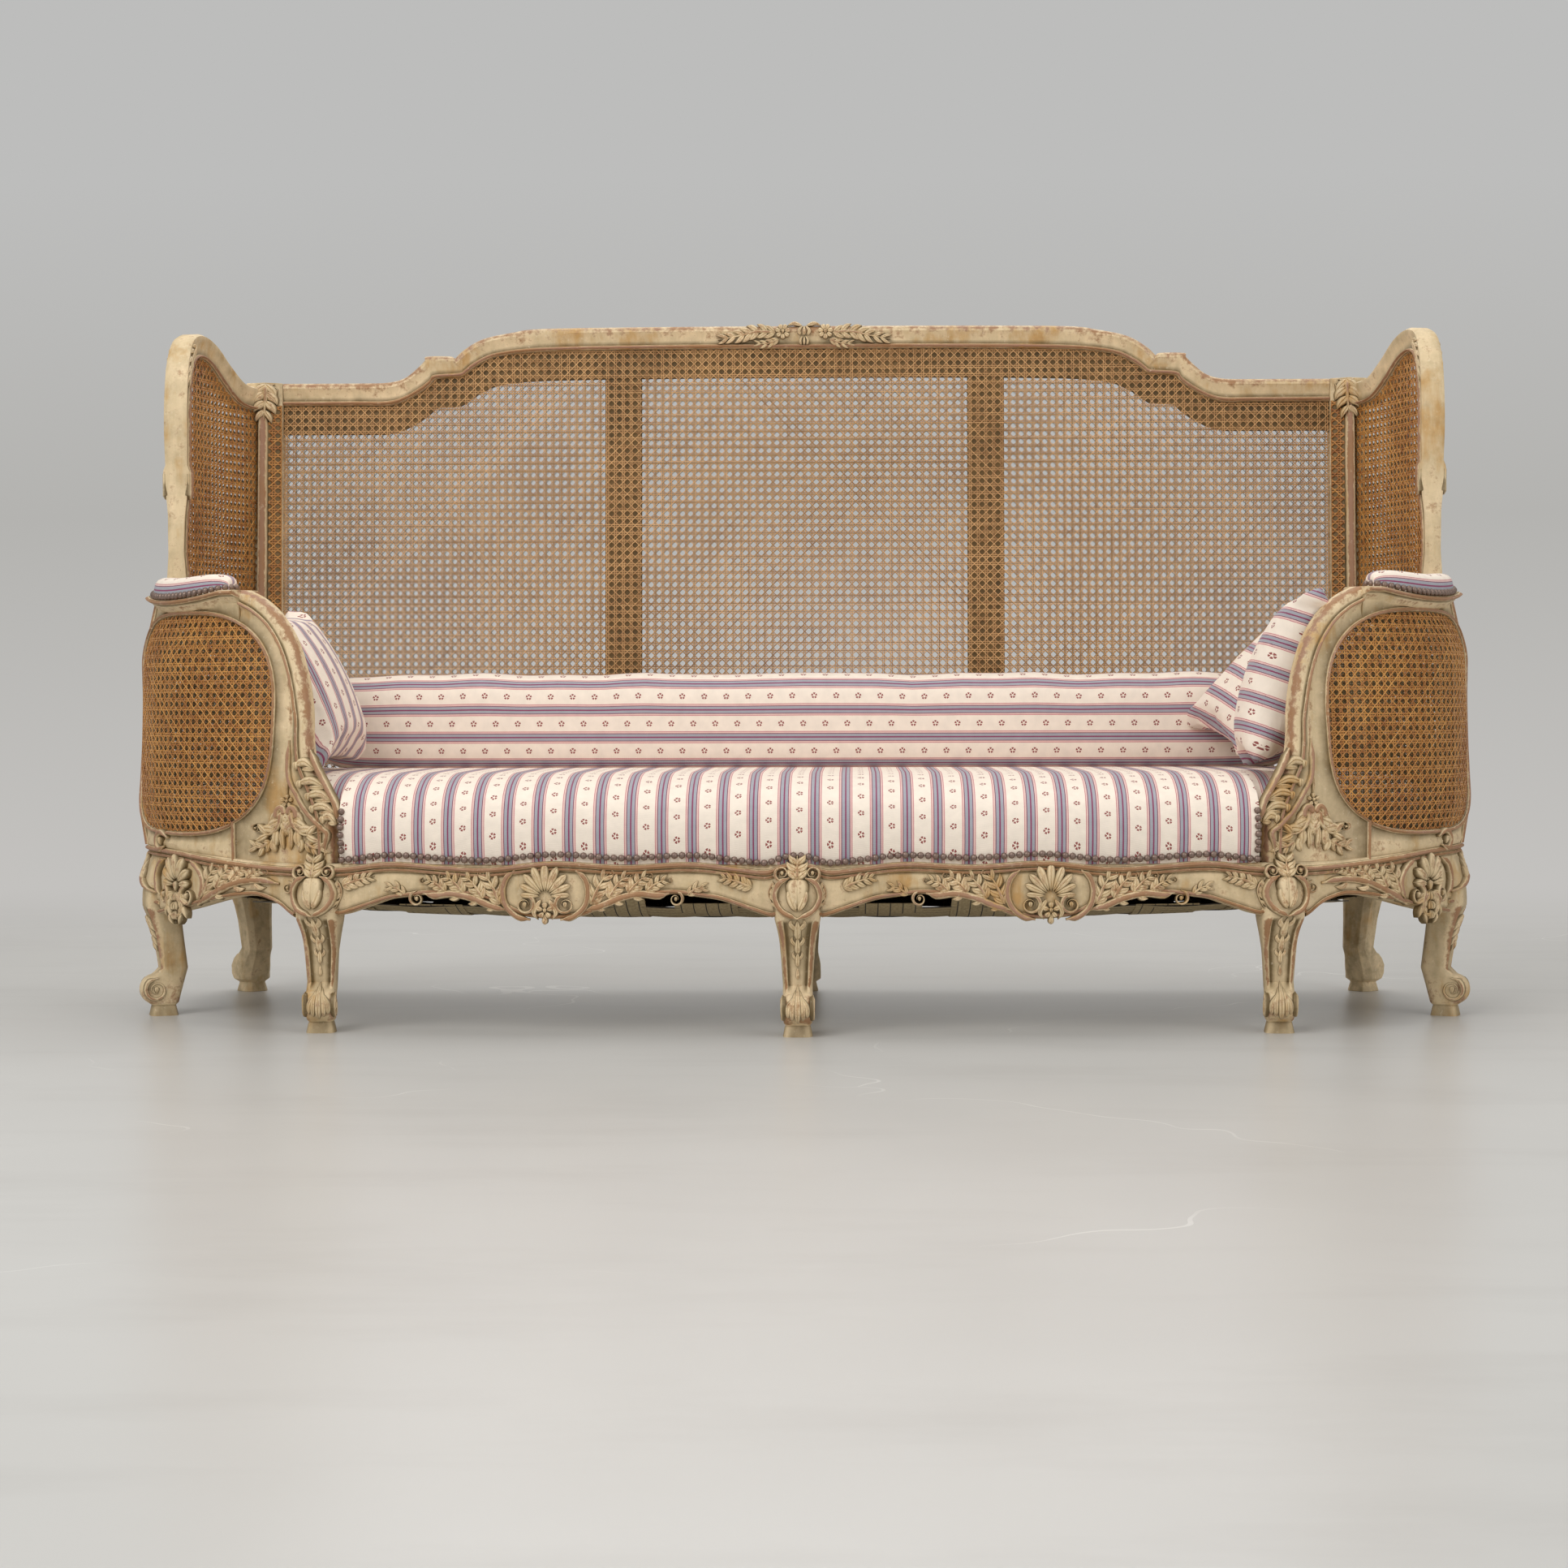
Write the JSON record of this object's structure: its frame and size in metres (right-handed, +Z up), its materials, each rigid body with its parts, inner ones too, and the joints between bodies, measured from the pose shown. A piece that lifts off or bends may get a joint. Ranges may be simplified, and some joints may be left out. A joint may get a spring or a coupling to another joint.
{
  "type": "sofa",
  "caption": "Long caned wing sofa with a serpentine carved frame, oval caned arms, scroll feet, a sprung nailed seat, padded arms, a bolster and loose cushions.",
  "frame": {"origin": "on the floor, at the centre of the sofa's outline seen from above", "axes": "+X to the right when the sofa is seen from the front, +Y to the back, +Z up"},
  "size_m": [2.1424, 0.7886, 1.154],
  "materials": {
    "worn_cream_paint": "worn cream and pale green paint over carved beech",
    "golden_cane": "varnished golden cane",
    "aged_cane": "darkened grey-green cane",
    "striped_cotton": "cream cotton with woven blue-grey and plum stripes",
    "jute_webbing": "woven jute webbing with wire springs sewn to it"
  },
  "bodies": {
    "sofa": {"arm_bottom_rail_left": "worn_cream_paint", "arm_bottom_rail_right": "worn_cream_paint", "arm_cane_inner_left": "aged_cane", "arm_cane_inner_right": "aged_cane", "arm_cane_outer_left": "golden_cane", "arm_cane_outer_right": "golden_cane", "arm_front_post_left": "worn_cream_paint", "arm_front_post_right": "worn_cream_paint", "arm_pad_left": "striped_cotton", "arm_pad_right": "striped_cotton", "arm_rear_post_left": "worn_cream_paint", "arm_rear_post_right": "worn_cream_paint", "arm_top_rail_left": "worn_cream_paint", "arm_top_rail_right": "worn_cream_paint", "back_bottom_rail": "worn_cream_paint", "back_cane_front": "golden_cane", "back_cane_rear": "aged_cane", "back_leg_centre": "worn_cream_paint", "back_leg_left": "worn_cream_paint", "back_leg_right": "worn_cream_paint", "back_muntin_left": "worn_cream_paint", "back_muntin_right": "worn_cream_paint", "back_rail_left": "worn_cream_paint", "back_rail_right": "worn_cream_paint", "back_stile_left": "worn_cream_paint", "back_stile_right": "worn_cream_paint", "back_top_lining": "worn_cream_paint", "crest_rail": "worn_cream_paint", "front_leg_centre": "worn_cream_paint", "front_leg_left": "worn_cream_paint", "front_leg_right": "worn_cream_paint", "front_rail_left": "worn_cream_paint", "front_rail_right": "worn_cream_paint", "seat_upholstery": "striped_cotton", "side_back_rail_left": "worn_cream_paint", "side_back_rail_right": "worn_cream_paint", "side_front_rail_left": "worn_cream_paint", "side_front_rail_right": "worn_cream_paint", "side_leg_left": "worn_cream_paint", "side_leg_right": "worn_cream_paint", "spring_cloth": "striped_cotton", "spring_webbing": "jute_webbing", "wing_bottom_rail_left": "worn_cream_paint", "wing_bottom_rail_right": "worn_cream_paint", "wing_cane_inner_left": "aged_cane", "wing_cane_inner_right": "aged_cane", "wing_cane_outer_left": "golden_cane", "wing_cane_outer_right": "golden_cane", "wing_frame_left": "worn_cream_paint", "wing_frame_right": "worn_cream_paint"},
    "bolster": {"bolster": "striped_cotton"},
    "cushion_left": {"cushion_left": "striped_cotton"},
    "cushion_right_front": {"cushion_right_front": "striped_cotton"},
    "cushion_right_rear": {"cushion_right_rear": "striped_cotton"}
  },
  "joints": [
    {"name": "bolster_lift", "type": "slide", "parent": "sofa", "child": "bolster", "axis": [0, 0, 1], "range_m": [0, 0.25]},
    {"name": "cushion_left_lift", "type": "slide", "parent": "sofa", "child": "cushion_left", "axis": [0.5, 0, 0.866], "range_m": [0, 0.25]},
    {"name": "cushion_right_front_lift", "type": "slide", "parent": "sofa", "child": "cushion_right_front", "axis": [-0.6, 0, 0.8], "range_m": [0, 0.25]},
    {"name": "cushion_right_rear_lift", "type": "slide", "parent": "sofa", "child": "cushion_right_rear", "axis": [-0.3, -0.3, 0.9055], "range_m": [0, 0.25]}
  ]
}
